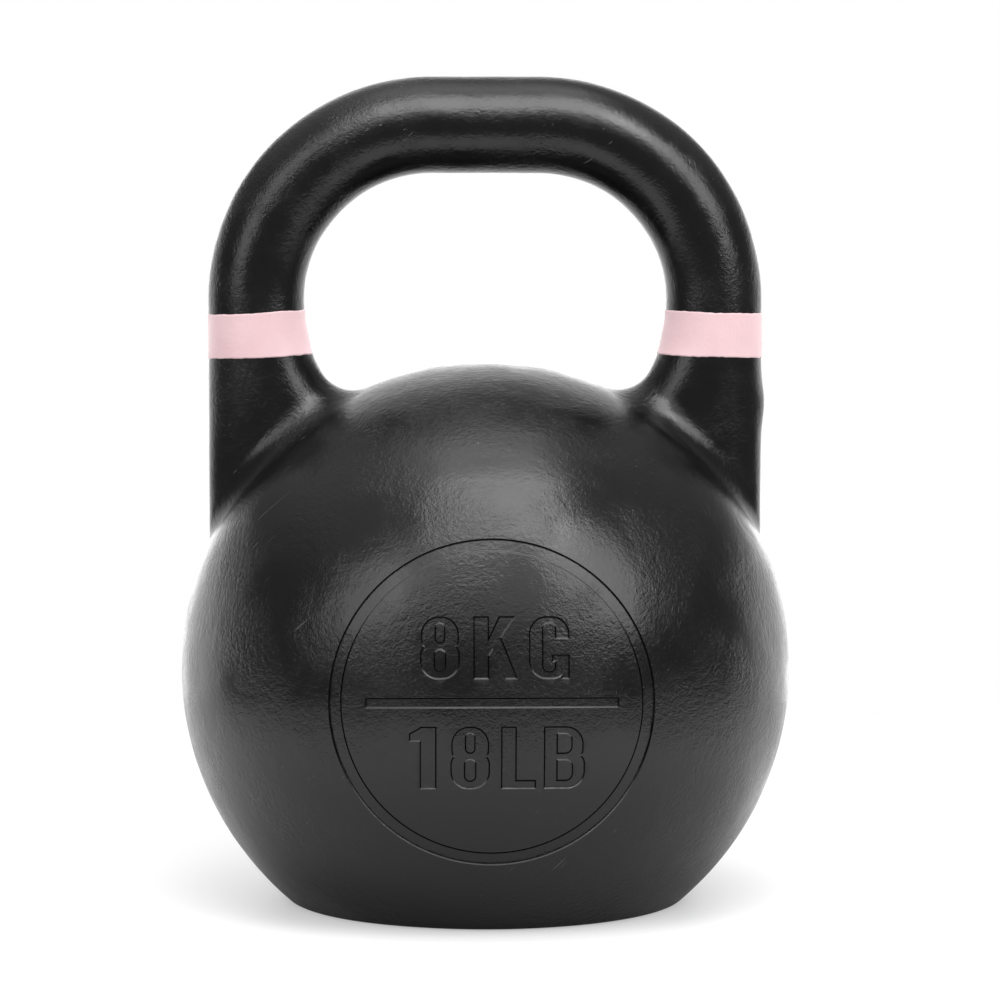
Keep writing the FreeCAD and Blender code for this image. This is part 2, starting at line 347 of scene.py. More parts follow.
mark = {
    "depth": 0.7,
    "wall": 0.5,               # width of the sloping walls
    "lean": math.radians(6.7),     # the cutter's axis leans up from the front
    "drop": 11.9,              # middle of the mark below the ball's centre, square to that axis
    "ringOuter": 52.8, "ringInner": 48.9,
    "ruleLength": 81.6, "ruleWidth": 2.9,
    "letterHeight": 19.8, "rowOffset": 7.8,
    "stem": 4.6, "beam": 2.5,
    "round": 5.5, "waist": 3.2,    # corners of the round letters, outside and where two halves meet
    "finePitch": 0.17,         # of the net along the letters' walls
    "near": 0.85,              # how far either side of a wall that net reaches, in walls
    "slopeStep": 0.02,         # over which slopes are taken
    "litFrom": 0.45, "litOver": 0.15,      # walls that face up by more than this share get a painted highlight, those that face up by less get painted shade
    "paintedLightReach": 0.62,              # how far either side of a wall the painted shade and painted highlight reach, in walls
}
markAxis = np.array([0, -math.cos(mark["lean"]), math.sin(mark["lean"])])
markUp = np.array([0, math.sin(mark["lean"]), math.cos(mark["lean"])])


def slab(u, v, left, bottom, right, top, low=0.0, high=None):
    # a block with its lower and its upper corners rounded
    corner = np.where(v < (bottom + top) / 2, low, low if high is None else high)
    du = np.abs(u - (left + right) / 2) - (right - left) / 2 + corner
    dv = np.abs(v - (bottom + top) / 2) - (top - bottom) / 2 + corner
    return np.hypot(np.maximum(du, 0), np.maximum(dv, 0)) + np.minimum(np.maximum(du, dv), 0) - corner


def wedge(u, v, *corners):
    # a convex shape with straight sides, its corners listed clockwise
    sides = []
    for (u0, v0), (u1, v1) in zip(corners, corners[1:] + corners[:1]):
        length = math.hypot(u1 - u0, v1 - v0)
        sides.append(((v - v0) * (u1 - u0) - (u - u0) * (v1 - v0)) / length)
    return np.maximum.reduce(sides)


def join(*shapes):
    return np.minimum.reduce(shapes)


def cut(shape, *holes):
    return np.maximum.reduce([shape, *[-hole for hole in holes]])


def letterOne(u, v):
    top, right = mark["letterHeight"], 8.4
    shaft = slab(u, v, right - mark["stem"] - 0.4, 0, right, top)
    flag = wedge(u, v, (0, top - 4.4), (0, top - 2.1), (3.9, top), (right, top), (right, top - 4.4))
    return join(shaft, flag)


def letterEight(u, v):
    top, right, waist = mark["letterHeight"], 12.3, 10.1
    lobes = join(slab(u, v, 0, 0, right, waist + 1, mark["round"], mark["waist"]),
                 slab(u, v, 0.3, waist - 1, right - 0.3, top, mark["waist"], mark["round"]))
    lower = slab(u, v, right / 2 - 1.8, 2.4, right / 2 + 1.8, waist - 0.7, 1.7)
    upper = slab(u, v, right / 2 - 1.5, waist + 1.4, right / 2 + 1.5, top - 1.9, 1.4)
    return cut(lobes, lower, upper)


def letterK(u, v):
    top, stem, right = mark["letterHeight"], mark["stem"], 13.8
    arm = wedge(u, v, (stem - 1, 5.9), (stem - 1, 10.3), (8.1, top), (13, top))
    foot = wedge(u, v, (5.3, 10.6), (8.1, 14.1), (right, 0), (10.1, 0))
    return join(slab(u, v, 0, 0, stem, top), arm, foot)


def letterG(u, v):
    top, right, inLeft, inRight = mark["letterHeight"], 12.7, 4.2, 8.4
    mouthLow, mouthHigh = 7.5, 12.9
    body = slab(u, v, 0, 0, right, top, mark["round"])
    counter = slab(u, v, inLeft, mark["beam"] - 0.4, inRight, top - 1.9, 1.9)
    mouth = slab(u, v, inRight - 1, mouthLow, right + 2, mouthHigh)
    tongue = slab(u, v, inRight - 1, mouthLow - 2, right, mouthLow)
    spur = slab(u, v, right - 2.3, 0, right, mouthLow)
    return join(cut(body, counter, mouth), tongue, spur)


def letterL(u, v):
    return join(slab(u, v, 0, 0, mark["stem"], mark["letterHeight"]), slab(u, v, 0, 0, 10.9, mark["beam"]))


def letterB(u, v):
    top, right, waist, inner = mark["letterHeight"], 13.0, 10.2, mark["stem"] - 0.5
    lobes = join(slab(u, v, -3, 0, right, waist + 0.9, mark["round"], mark["waist"]),
                 slab(u, v, -3, waist - 0.9, right - 0.5, top, mark["waist"], mark["round"]))
    lower = slab(u, v, inner - 2, mark["beam"], right - 3.9, waist - 1, 2.2)
    upper = slab(u, v, inner - 2, waist + 1.1, right - 4.1, top - 2.1, 2.2)
    return cut(join(cut(lobes, lower, upper), slab(u, v, 0, 0, inner, top)), u)


# for each row, the height of its base and each letter with its left side, from the middle of the mark
rows = [
    (mark["rowOffset"], [(letterEight, -23.1), (letterK, -6.0), (letterG, 11.9)]),
    (-mark["rowOffset"] - mark["letterHeight"],
     [(letterOne, -26.7), (letterEight, -13.4), (letterL, 2.9), (letterB, 16.7)]),
]


def innerDistance(u, v):
    # the rule and the letters
    halfLength, halfWidth = mark["ruleLength"] / 2, mark["ruleWidth"] / 2
    rule = slab(u, v, -halfLength, -halfWidth, halfLength, halfWidth)
    return join(rule, *[letter(u - left, v - low) for low, letters in rows for letter, left in letters])


def markDistance(u, v):
    fromMiddle = np.hypot(u, v)
    ring = np.maximum(fromMiddle - mark["ringOuter"], mark["ringInner"] - fromMiddle)
    return join(ring, innerDistance(u, v))


def markPlace(directions):
    # where directions from the ball's centre fall on the mark, and which of them are on its side of the ball
    reach = directions * ball["radius"]
    return reach[:, 0], reach @ markUp + mark["drop"], directions @ markAxis > 0


def markDirection(u, v):
    # the direction from the ball's centre to the point of its front that lies over (u, v)
    u, v = (values.reshape(-1, 1) for values in np.broadcast_arrays(u, v))
    side, up = u / ball["radius"], (v - mark["drop"]) / ball["radius"]
    return side * np.array([1.0, 0, 0]) + up * markUp + np.sqrt(1 - side ** 2 - up ** 2) * markAxis


def changes(values, u, v):
    # how fast values change along u and along v
    step = mark["slopeStep"]
    alongU = (values(u + step, v) - values(u - step, v)) / (2 * step)
    alongV = (values(u, v + step) - values(u, v - step)) / (2 * step)
    return alongU, alongV


def markSink(directions):
    # depth of the mark under points of the ball, easing in and out across its walls, and its slope
    def depthAt(u, v):
        t = np.clip(0.5 - markDistance(u, v) / mark["wall"], 0, 1)
        return mark["depth"] * t * t * (3 - 2 * t)

    u, v, front = markPlace(directions)
    alongU, alongV = changes(depthAt, u, v)
    slope = alongU[:, None] * np.array([1.0, 0, 0]) + alongV[:, None] * markUp
    return np.where(front, depthAt(u, v), 0), slope * front[:, None]


def wallShadeAndHighlight(directions):
    # -1 on the mark's walls that face down, which get painted shade, +1 on those that face up, which get a
    # painted highlight, 0 elsewhere
    u, v, front = markPlace(directions)
    alongU, alongV = changes(markDistance, u, v)
    facing = -alongV / np.maximum(np.hypot(alongU, alongV), 1e-9)
    near = np.clip(1.6 * (1 - np.abs(markDistance(u, v)) / (mark["paintedLightReach"] * mark["wall"])), 0, 1)
    return front * near * np.clip((facing - mark["litFrom"]) / mark["litOver"], -1, 1)


ballShell = {
    "pitch": 2.1,              # between points on the plain skin
    "rimAround": 240,
    "footRounding": 4.0,
    "wallThickness": 4.8,
    "padDistance": 88.0,       # inner face of the thick pads under the seats
    "hollowRows": 64,
    "hollowTop": 0.02,         # lean at which the hollow closes over the top
}


def spiralOnBall(pitch):
    # points on a golden-angle spiral from pole to pole, evenly spread over the ball
    count = int(4 * math.pi * ball["radius"] ** 2 / (pitch ** 2 * math.sqrt(3) / 2))
    step = np.arange(count) + 0.5
    height = 1 - 2 * step / count
    turn = step * math.pi * (3 - math.sqrt(5))
    wide = np.sqrt(1 - height ** 2)
    return np.stack([wide * np.cos(turn), wide * np.sin(turn), height], axis=1)


def markDirections():
    # points for the mark: circles along the ring's walls, and a fine net along the rule's and letters' walls
    across = np.linspace(-0.75, 0.75, 7) * mark["wall"]
    radii = np.concatenate([mark["ringInner"] + across, mark["ringOuter"] + across])
    radii = np.sort(np.append(radii, (mark["ringInner"] + mark["ringOuter"]) / 2))
    turn = fullTurn(420)[None, :]
    rings = markDirection(radii[:, None] * np.cos(turn), radii[:, None] * np.sin(turn))
    half = mark["ringInner"]
    grid = np.arange(-half, half, mark["finePitch"])
    u, v = (values.reshape(-1) for values in np.meshgrid(grid, grid))
    near = np.abs(innerDistance(u, v)) < mark["near"] * mark["wall"]
    return [rings, markDirection(u[near], v[near])], radii


def footArc():
    # the rounding between ball and foot: how far out its centre is, and the angle at which it meets the ball
    small = ballShell["footRounding"]
    outward = math.sqrt((ball["radius"] - small) ** 2 - (ball["centreHeight"] - small) ** 2)
    return outward, math.atan2(small - ball["centreHeight"], outward)


def offSeats(directions, margin=0.0):
    # which directions from the ball's centre miss both seats and the foot
    off = directions[:, 2] > math.sin(footArc()[1]) + margin
    for side in (1, -1):
        off &= directions @ toSide(seatAxis, side) < math.cos(ball["seatAngle"] + margin)
    return off


def plainDirections(radii):
    # the spiral's points, away from the seats, the foot's rim and the mark's walls
    pitch = ballShell["pitch"]
    directions = spiralOnBall(pitch)
    away = offSeats(directions, 0.6 * pitch / ball["radius"])
    u, v, front = markPlace(directions)
    fromMiddle = np.hypot(u, v)
    onRing = (fromMiddle > radii[0] - 0.4 * pitch) & (fromMiddle < radii[-1] + 0.4 * pitch)
    onWall = (fromMiddle < radii[0]) & (np.abs(innerDistance(u, v)) < mark["near"] * mark["wall"] + 0.25)
    return directions[away & ~(front & (onRing | onWall))]


def outerSkin():
    # the ball's outside as one triangle net, drawn flat from the point under it, which keeps circles round
    seat = onBall(np.full(horn["around"], ball["seatAngle"]), fullTurn(horn["around"]))
    rimTurn, angle = fullTurn(ballShell["rimAround"]), footArc()[1]
    rim = np.stack([math.cos(angle) * np.cos(rimTurn), math.cos(angle) * np.sin(rimTurn),
                    np.full(len(rimTurn), math.sin(angle))], axis=1)
    sets, radii = markDirections()
    directions = np.vstack([seat, toSide(seat, -1), rim, *sets, plainDirections(radii)])
    flat = directions[:, :2] / (1 + directions[:, 2:])
    triangles = np.array(delaunay_2d_cdt(flat.tolist(), [], [], 0, 1e-9)[2])
    kept = triangles[offSeats(unit(directions[triangles].mean(axis=1)))]
    sink, slope = markSink(directions)
    inward = sink / np.maximum(directions @ markAxis, 0.2)      # along the cutter's axis, so all walls show
    points = ball["centre"] + ball["radius"] * directions - inward[:, None] * markAxis
    points, normals = asCast(points, directions, sinkSlope=slope)
    return points, kept, normals


def line(start, end, count=2):
    # a straight stretch of profile, from start to end as (radius, height), its normal on the right of its way
    points = np.linspace(start, end, count)
    along = unit(np.subtract(end, start, dtype=float))
    return points, np.tile([along[1], -along[0]], (count, 1))


def arc(centre, radius, start, end, count):
    # a round stretch of profile, bulging away from its centre
    angle = np.radians(np.linspace(start, end, count))[:, None]
    normals = np.hstack([np.cos(angle), np.sin(angle)])
    return np.array(centre) + radius * normals, normals


def turned(stretch, around):
    # turns a stretch of profile about the upright axis through the foot
    points, normals = (roundAxis(values[:, :1], fullTurn(around), values[:, 1:]) for values in stretch)
    return points, normals - footMiddle


def lathe(corners, around, count=2):
    # turned solids: straight stretches between (radius, height) corners, listed with the metal on the left
    return [gridPatch(*turned(line(start, end, count), around)) for start, end in zip(corners, corners[1:])]


base = {
    "footInner": 52.0, "relief": 1.5, "edge": 0.6,
    "plugSeatRadius": 31.5, "plugSeatHeight": 6.5,
    "holeRadius": 25.0, "bossRadius": 36.0, "bossTop": 17.0, "floor": 9.0,
    "threadPitch": 2.0, "threadDepth": 1.0,
}


def threadRadius(turn, z, crest, pitch, depth):
    # a single-start thread: the radius falls from its crest in a triangle wave that climbs a pitch each turn
    wave = (z / pitch - turn / (2 * math.pi)) % 1.0
    return crest - depth * (1 - np.abs(2 * wave - 1))


def threadPatch(crest, low, high, pitch, depth, around, outward=1):
    # a threaded wall, its ends run out to plain circles so that it meets its neighbours
    turn = fullTurn(around)
    z = np.arange(low, high + pitch / 16, pitch / 8)[:, None]
    z = (z - low) * (high - low) / (z[-1] - low) + low
    fade = np.clip(np.minimum(z - low, high - z) / pitch, 0, 1)
    radius = crest - fade * (crest - threadRadius(turn, z, crest, pitch, depth))
    points = roundAxis(radius, turn, z)
    return points, gridNormals(points, outward)


def gridNormals(points, outward=1):
    # normals of a closed grid from its neighbours, pointing away from the upright axis where outward is 1
    across = np.roll(points, -1, axis=1) - np.roll(points, 1, axis=1)
    normals = unit(np.cross(across, np.gradient(points, axis=0)))
    fromAxis = (points - points.mean(axis=(0, 1))) * [1, 1, 0]
    return normals * (outward if np.sum(normals * fromAxis) > 0 else -outward)


def cavityPatch(around):
    # the hollow: a ball's inside, held in by a flat pad under each seat
    radius = ball["radius"] - ballShell["wallThickness"]
    floorLean = math.acos((base["floor"] - ball["centreHeight"]) / radius)
    lean = np.linspace(floorLean, ballShell["hollowTop"], ballShell["hollowRows"])[:, None]
    away = roundAxis(np.sin(lean), fullTurn(around), np.cos(lean)) - footMiddle
    reach, normals = np.full(away.shape[:2], radius), -away
    for side in (1, -1):
        axis = toSide(seatAxis, side)
        facing = np.maximum(away @ axis, 0.1)
        onPad = ballShell["padDistance"] / facing < radius
        reach = np.where(onPad, ballShell["padDistance"] / facing, reach)
        normals = np.where(onPad[..., None], -axis, normals)
    return ball["centre"] + reach[..., None] * away, normals


def basePatches(around):
    # from the rim of the foot inwards: foot, relief, plug seat, threaded hole, boss, floor and hollow
    outward, angle = footArc()
    small, edge, relief = ballShell["footRounding"], base["edge"], base["relief"]
    points, normals = turned(arc((outward, small), small, math.degrees(angle), -90, 9), around)
    share = np.linspace(1, 0, 9)[:, None] * np.ones(around)
    patches = [gridPatch(*asCast(points, normals, share=share))]
    inner, seatRadius, seatHeight = base["footInner"], base["plugSeatRadius"], base["plugSeatHeight"]
    hole, boss, bossTop, floor = base["holeRadius"], base["bossRadius"], base["bossTop"], base["floor"]
    hollow = ball["radius"] - ballShell["wallThickness"]
    floorEnd = math.sqrt(hollow ** 2 - (ball["centreHeight"] - floor) ** 2)
    below = [(outward, 0), (inner + edge, 0), (inner, edge), (inner, relief), (seatRadius + edge, relief),
             (seatRadius, relief + edge), (seatRadius, seatHeight), (hole, seatHeight)]
    above = [(hole, bossTop), (boss - edge, bossTop), (boss, bossTop - edge), (boss, floor),
             (floorEnd, floor)]
    thread = threadPatch(hole, seatHeight, bossTop, base["threadPitch"], base["threadDepth"], around, -1)
    points, normals = cavityPatch(around)
    patches += [*lathe(below[::-1], around, 3), gridPatch(*thread), *lathe(above[::-1], around, 3)]
    return [*patches, gridPatch(points, normals), fanPatch(points[-1], np.array([0, 0, -1.0]))]


def makeBall():
    patches = [outerSkin(), *basePatches(ballShell["rimAround"])]
    for side in (1, -1):
        loop = asCast(toSide(hornPoints[-1], side) + footMiddle, toSide(hornNormals[-1], side))[0]
        patches.append(fanPatch(loop, toSide(seatAxis, side)))
    piece = makePiece("ball_casting", patches, ["ball_shell"])
    points = np.zeros(len(piece.data.vertices) * 3, np.float32)
    piece.data.vertices.foreach_get("co", points)
    away = points.reshape(-1, 3) / mm - ball["centre"]
    outside = np.linalg.norm(away, axis=1) > ball["radius"] - 2
    # the mark walls' painted shade (-1) and painted highlight (+1), kept on the points for the paint
    walls = np.where(outside, wallShadeAndHighlight(away / ball["radius"]), 0).astype(np.float32)
    piece.data.attributes.new("paintedWallLight", "FLOAT", "POINT").data.foreach_set("value", walls)
    return piece


band = {
    "middle": 194.7, "width": 15.3, "thickness": 0.22,
    "tilt": {"left": 2.7, "right": 2.0},       # degrees, inner side higher
    "around": 480, "edgeRows": 7, "innerRows": 12,
    "ragged": 0.09,            # how far the edges wander
    "edge": 0.45,              # width over which the paint thins out
    "ridge": 0.05, "ridgeWidth": 0.3,          # a thicker line of paint just inside each edge
    "rooted": 0.04,            # how deep the edges lie under the black paint
    "backing": 0.3,            # how deep the band's hidden back lies
}


def wander(turn, random):
    # a ragged closed line: waves that fit a whole number of times round the leg, fine ones weaker
    count = np.arange(2, 64)
    size = random.normal(size=len(count)) / count ** 0.75
    phase = random.uniform(0, 2 * math.pi, len(count))
    waves = (size[:, None] * np.sin(count[:, None] * turn + phase[:, None])).sum(axis=0)
    return band["ragged"] * waves / waves.std()


def makeBand(name, node, side, tilt, seed):
    random = np.random.default_rng(seed)
    turn = fullTurn(band["around"])
    lean = math.tan(math.radians(tilt)) * (leg["barRadius"] * (1 - np.cos(turn)) - leg["barRadius"])
    low = band["middle"] - band["width"] / 2 + lean + wander(turn, random)
    high = band["middle"] + band["width"] / 2 + lean + wander(turn, random)
    edge = np.linspace(0, 1.4 * band["edge"], band["edgeRows"])[:, None]
    inner = np.linspace(0, 1, band["innerRows"])[1:-1, None]
    rows = np.vstack([low + edge, low + edge[-1] + (high - low - 2 * edge[-1]) * inner, high - edge[::-1]])
    fromEdge = np.minimum(rows - low, high - rows)
    rise = np.clip(fromEdge / band["edge"], 0, 1)
    ridge = band["ridge"] * np.exp(-((fromEdge - 1.2 * band["edge"]) / band["ridgeWidth"]) ** 2)
    grow = band["thickness"] * rise * rise * (3 - 2 * rise) + ridge - band["rooted"]
    points, normals = (toSide(vectors, side) for vectors in legSurface(turn, rows))
    points, normals = asCast(points + footMiddle, normals)
    outside = points + grow[..., None] * normals
    under = points - band["backing"] * normals
    inside = np.stack([outside[-1], under[-1], under[0], outside[0]])
    patches = [gridPatch(outside, gridNormals(outside)), gridPatch(inside, gridNormals(inside, -1))]
    return makePiece(name, patches, [node])


plug = {
    "flangeRadius": 31.0, "flangeBottom": 2.0, "flangeTop": 5.5, "top": 20.0,
    "keyFlats": 17.0, "keyDepth": 8.0, "edge": 0.7, "flangeEdge": 0.3, "endEdge": 1.0, "boreEdge": 0.5,
    "sealInner": 25.5, "sealOuter": 30.5, "sealEdge": 0.3,
    "around": 192,
}
trim = {
    "discRadius": 22.0, "discThickness": 4.0, "discCount": 3, "discEdge": 0.5, "bore": 5.3,
    "discGap": 0.01,           # keeps each disc its own closed solid
    "washerRadius": 9.0, "washerThickness": 2.2, "washerGap": 1.6, "washerEdge": 0.25,
    "screwRadius": 5.0, "screwPitch": 1.5, "threadDepth": 0.8, "screwEnd": 13.0,
    "headRadius": 8.0, "headHeight": 10.0, "headEdge": 0.6, "keyFlats": 8.0, "keyDepth": 5.0,
    "serrations": 48, "serrationDepth": 0.18,
    "around": 96,
}
stackTop = plug["top"] + trim["discCount"] * trim["discThickness"]


def sixSided(turn, flats):
    # distance from the middle to the side of a hexagon with a corner at turn 0
    return flats / 2 / np.cos((turn % (math.pi / 3)) - math.pi / 6)


def keySocket(flats, mouth, floor, around, faceRadius):
    # a hexagonal socket: the flat face round its mouth, its chamfer, its walls and its cone-shaped floor
    turn = fullTurn(around)
    side = sixSided(turn, flats)
    chamfer = 0.4
    way = np.sign(mouth - floor)
    rings = [(faceRadius, mouth), (side + chamfer, mouth), (side, mouth - way * chamfer), (side, floor),
             (side * 0.02, floor - way * chamfer)]
    loops = [roundAxis(radius, turn, z) for radius, z in rings]
    flat = np.round(turn / (math.pi / 3) - 0.5) * math.pi / 3 + math.pi / 6
    facing = np.stack([-np.cos(flat), -np.sin(flat), 0 * flat], axis=-1)
    out = np.tile([0, 0, float(way)], (around, 1))
    patches = [fanPatch(loops[-1], out[0])]
    for first, second, normal in zip(loops, loops[1:], (out, unit(facing + out), facing, out)):
        patches.append(gridPatch(np.stack([first, second]), np.stack([normal, normal])))
    return patches


def makePlug():
    around, edge, upper = plug["around"], plug["edge"], plug["flangeEdge"]
    low, high, top, wide = plug["flangeBottom"], plug["flangeTop"], plug["top"], plug["flangeRadius"]
    hole, bore, end, boreEdge = base["holeRadius"], trim["screwRadius"], plug["endEdge"], plug["boreEdge"]
    patches = keySocket(plug["keyFlats"], low, low + plug["keyDepth"], around, wide - edge)
    flange = [(wide - edge, low), (wide, low + edge), (wide, high - upper), (wide - upper, high),
              (hole, high)]
    face = [(hole, top - end), (hole - end, top), (bore + boreEdge, top), (bore, top - boreEdge)]
    outer = threadPatch(hole, high, top - end, base["threadPitch"], base["threadDepth"], around)
    inner = threadPatch(bore, trim["screwEnd"], top - boreEdge, trim["screwPitch"], trim["threadDepth"],
                        around, -1)
    patches += [*lathe(flange, around), gridPatch(*outer), *lathe(face, around), gridPatch(*inner),
                fanPatch(inner[0][0], np.array([0, 0, 1.0]))]
    return makePiece("base_plug_turned", patches, ["base_plug"])


def ringSection(inner, outer, low, high, edge):
    # corners of a flat ring's section, its edges taken off
    return [(inner + edge, low), (outer - edge, low), (outer, low + edge), (outer, high - edge),
            (outer - edge, high), (inner + edge, high), (inner, high - edge), (inner, low + edge)]


def flatRing(around, *sizes):
    section = ringSection(*sizes)
    return lathe([*section, section[0]], around)


def makeSeal():
    patches = flatRing(plug["around"], plug["sealInner"], plug["sealOuter"], plug["flangeTop"],
                       base["plugSeatHeight"], plug["sealEdge"])
    return makePiece("seal_ring", patches, ["plug_seal"])


def makeDiscs():
    patches = []
    for i in range(trim["discCount"]):
        low = plug["top"] + i * trim["discThickness"]
        patches += flatRing(trim["around"], trim["bore"], trim["discRadius"], low + trim["discGap"] * (i > 0),
                            low + trim["discThickness"], trim["discEdge"])
    return makePiece("trim_disc_stack", patches, ["trim_discs"])


def makeWasher():
    # a split ring: its section carried round from one side of the gap to the other
    half = math.asin(trim["washerGap"] / 2 / trim["washerRadius"])
    turn = np.linspace(half, 2 * math.pi - half, trim["around"])[:, None]
    section = np.array(ringSection(trim["bore"], trim["washerRadius"], stackTop,
                                   stackTop + trim["washerThickness"], trim["washerEdge"]))
    points = roundAxis(section[:, 0], turn, section[:, 1])
    patches = []
    for i in range(len(section)):
        pair = points[:, [i, (i + 1) % len(section)]]
        along = np.gradient(pair[:, 0], axis=0)
        normal = unit(np.cross(along, pair[:, 1] - pair[:, 0]))
        patches.append(gridPatch(pair, np.stack([normal, normal], axis=1), closed=False))
    patches.append(fanPatch(points[0], -unit(points[1] - points[0])[0]))
    patches.append(fanPatch(points[-1], unit(points[-1] - points[-2])[0]))
    return makePiece("spring_washer", patches, ["trim_washer"])


def makeScrew():
    around = trim["around"] * 4
    low = stackTop + trim["washerThickness"]
    high = low + trim["headHeight"]
    wide, thin, edge = trim["headRadius"], trim["screwRadius"], trim["headEdge"]
    turn = fullTurn(around)
    grip = wide - trim["serrationDepth"] * (1 + np.cos(trim["serrations"] * turn)) / 2
    side = roundAxis(grip, turn, np.linspace(low + edge, high - edge, 4)[:, None])
    patches = [gridPatch(side, gridNormals(side))]
    for row, height, way in ((0, low, -1), (-1, high, 1)):
        slope = unit(np.stack([np.cos(turn), np.sin(turn), 0 * turn + way], axis=-1))
        pair = np.stack([side[row], roundAxis(wide - edge, turn, height)])
        patches.append(gridPatch(pair, np.stack([slope, slope])))
    shank = threadPatch(thin, trim["screwEnd"], low, trim["screwPitch"], trim["threadDepth"], around)
    patches += [*keySocket(trim["keyFlats"], high, high - trim["keyDepth"], around, wide - edge),
                *lathe([(thin, low), (wide - edge, low)], around), gridPatch(*shank),
                fanPatch(shank[0][0], np.array([0, 0, -1.0]))]
    return makePiece("trim_cap_screw", patches, ["trim_screw"])


def feed(tree, socket, value):
    # links another node's output to an input, or sets the input's plain value
    if isinstance(value, bpy.types.NodeSocket):
        tree.links.new(value, socket)
    else:
        socket.default_value = value


def dress(tree, node, **settings):
    # feeds a node's inputs and sets its other properties; names with spaces are given with underscores
    for key, value in settings.items():
        socket = node.inputs.get(key.replace("_", " "))
        if socket is None:
            setattr(node, key, value)
        else:
            feed(tree, socket, value)
    return node


def setUp(tree, kind, **settings):
    return dress(tree, tree.nodes.new(kind), **settings)


def maths(tree, operation, *values, **settings):
    # the result of one calculation
    node = setUp(tree, "ShaderNodeMath", operation=operation, **settings)
    for socket, value in zip(node.inputs, values):
        feed(tree, socket, value)
    return node.outputs[0]


def ramp(tree, value, start, end, low=0.0, high=1.0, **settings):
    # runs from low to high while value runs from start to end, and stays there on either side
    return setUp(tree, "ShaderNodeMapRange", Value=value, From_Min=start, From_Max=end, To_Min=low,
                 To_Max=high, **settings).outputs[0]


def noise(tree, vector, scale, **settings):
    return setUp(tree, "ShaderNodeTexNoise", Vector=vector, Scale=scale, **settings).outputs[0]


def relief(tree, height, distance):
    return setUp(tree, "ShaderNodeBump", Strength=1.0, Distance=distance, Height=height).outputs[0]


def blend(tree, share, first, second):
    # mixes two colours, each a plain one or another node's output
    node = setUp(tree, "ShaderNodeMix", data_type="RGBA")
    sockets = {socket.identifier: socket for socket in [*node.inputs, *node.outputs]}
    feed(tree, sockets["Factor_Float"], share)
    for name, colour in (("A_Color", first), ("B_Color", second)):
        feed(tree, sockets[name], (*colour, 1) if isinstance(colour, tuple) else colour)
    return sockets["Result_Color"]


def forCamera(tree, lit, seen):
    # seen where the camera looks straight at it, and lit for light and reflections
    direct = setUp(tree, "ShaderNodeLightPath").outputs["Is Camera Ray"]
    return setUp(tree, "ShaderNodeMix", Factor=direct, A=lit, B=seen).outputs["Result"]


def newGroup(name, inputs, *outputs):
    # a group with a vector input, further inputs with their plain values, and its outputs
    group = bpy.data.node_groups.new(name, "ShaderNodeTree")
    group.interface.new_socket("Vector", in_out="INPUT", socket_type="NodeSocketVector")
    for title, value in inputs.items():
        socket = group.interface.new_socket(title, in_out="INPUT", socket_type="NodeSocketFloat")
        socket.default_value = value
    for title in outputs:
        group.interface.new_socket(title, in_out="OUTPUT", socket_type="NodeSocketFloat")
    return group, group.nodes.new("NodeGroupInput").outputs, group.nodes.new("NodeGroupOutput")


def useGroup(tree, group, place, **values):
    node = tree.nodes.new("ShaderNodeGroup")
    node.node_tree = group
    return dress(tree, node, Vector=place, **values).outputs


def newMaterial(name):
    # a material with its tree, its shader and the object's own coordinates
    material = bpy.data.materials.new(name)
    material.use_nodes = True
    tree = material.node_tree
    return material, tree, tree.nodes["Principled BSDF"], setUp(tree, "ShaderNodeTexCoord").outputs["Object"]


def pebbleGroup():
    # relief of paint over cast iron: rounded pebbles broken by finer grain and by broad patches where they
    # nearly fade; the patches also come out as a mask
    group, start, end = newGroup(
        "pebbledCasting",
        {"Pebble Size": 0.0019, "Grain Size": 0.0006, "Grain Share": 0.3, "Calm": 0.3},
        "Height", "Patch")
    place = start["Vector"]
    scales = [maths(group, "DIVIDE", 1.0, start[title]) for title in ("Pebble Size", "Grain Size")]
    pebble = noise(group, place, scales[0], Detail=2.0, Roughness=0.5, Distortion=0.6)
    grain = noise(group, place, scales[1], Detail=2.0, Roughness=0.6)
    patch = ramp(group, noise(group, place, 34.0, Detail=3.0, Roughness=0.55), 0.40, 0.60)
    both = maths(group, "MULTIPLY_ADD", grain, start["Grain Share"], pebble)
    strength = ramp(group, patch, 0.0, 1.0, start["Calm"])
    dress(group, end, Height=maths(group, "MULTIPLY", both, strength), Patch=patch)
    return group


def speckGroup():
    # wear: a few bright specks at the middles of random cells, and thin scratches, which are noise drawn out
    # one way, cut off high and kept to broad patches
    group, start, end = newGroup("specksAndScratches", {"Cell Size": 0.030}, "Specks", "Scratches")
    place = start["Vector"]
    scale = maths(group, "DIVIDE", 1.0, start["Cell Size"])
    cells = setUp(group, "ShaderNodeTexVoronoi", Vector=place, Scale=scale)
    drawnOut = setUp(group, "ShaderNodeMapping", vector_type="TEXTURE", Vector=place,
                     Rotation=(0.5, 0.75, 0.3), Scale=(0.0009, 0.0009, 0.035))
    lines = ramp(group, noise(group, drawnOut.outputs[0], 1.0, Detail=1.0), 0.735, 0.79)
    patches = ramp(group, noise(group, place, 22.0, Detail=1.0), 0.52, 0.58)
    dress(group, end, Specks=ramp(group, cells.outputs["Distance"], 0.005, 0.011, 1.0, 0.0),
          Scratches=maths(group, "MULTIPLY", lines, patches))
    return group


